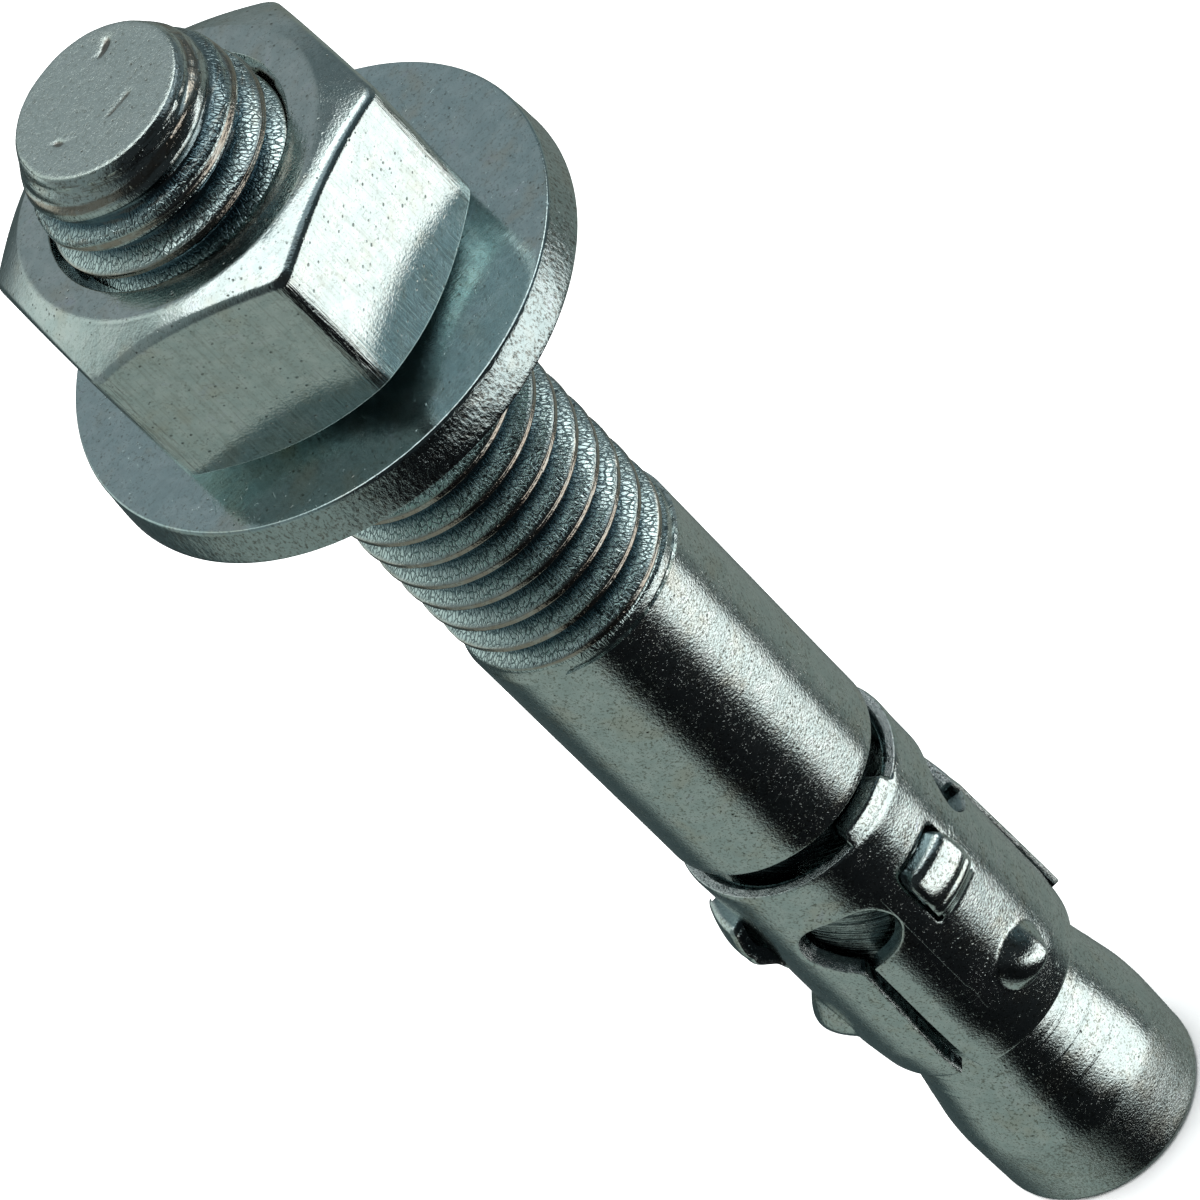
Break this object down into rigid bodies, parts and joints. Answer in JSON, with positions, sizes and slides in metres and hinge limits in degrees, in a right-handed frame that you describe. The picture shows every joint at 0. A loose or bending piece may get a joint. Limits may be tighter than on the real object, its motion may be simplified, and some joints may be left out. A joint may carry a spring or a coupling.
{
  "type": "wedge anchor",
  "caption": "Zinc-plated wedge expansion anchor: threaded bolt with hex nut, flat washer and three-finger expansion clip on a reduced neck.",
  "frame": {"origin": "centre of the blunt tip's flat end face, on the bolt axis", "axes": "+Z along the bolt axis from the tip to the threaded end; -Y is the side where a corner of the nut and one clip finger face"},
  "size_m": [0.027, 0.027, 0.0965],
  "materials": {
    "body_zinc": "bright zinc plate, satin with fine grain",
    "washer_zinc": "bright zinc plate, satin, sheared edge",
    "nut_zinc": "bright zinc plate, satin",
    "clip_zinc": "bright zinc plate over sheet steel"
  },
  "bodies": {
    "anchor": {"anchor_body": "body_zinc"},
    "washer": {"flat_washer": "washer_zinc"},
    "nut": {"hex_nut": "nut_zinc"},
    "clip": {"expansion_clip": "clip_zinc"}
  },
  "joints": [
    {"name": "washer_slide", "type": "slide", "parent": "anchor", "child": "washer", "axis": [0, 0, 1], "range_m": [-0.02149, 0.00782]},
    {"name": "nut_turn", "type": "hinge", "parent": "washer", "child": "nut", "pos_m": [0, 0, 0.085], "axis": [0, 0, 1], "range_deg": [-3961, 1441]},
    {"name": "clip_turn", "type": "hinge", "parent": "anchor", "child": "clip", "pos_m": [0, 0, 0.024], "axis": [0, 0, 1], "continuous": true}
  ],
  "couplings": [
    {"joint": "nut_turn", "follows": "washer_slide", "rad_per_m": 3215.9}
  ]
}
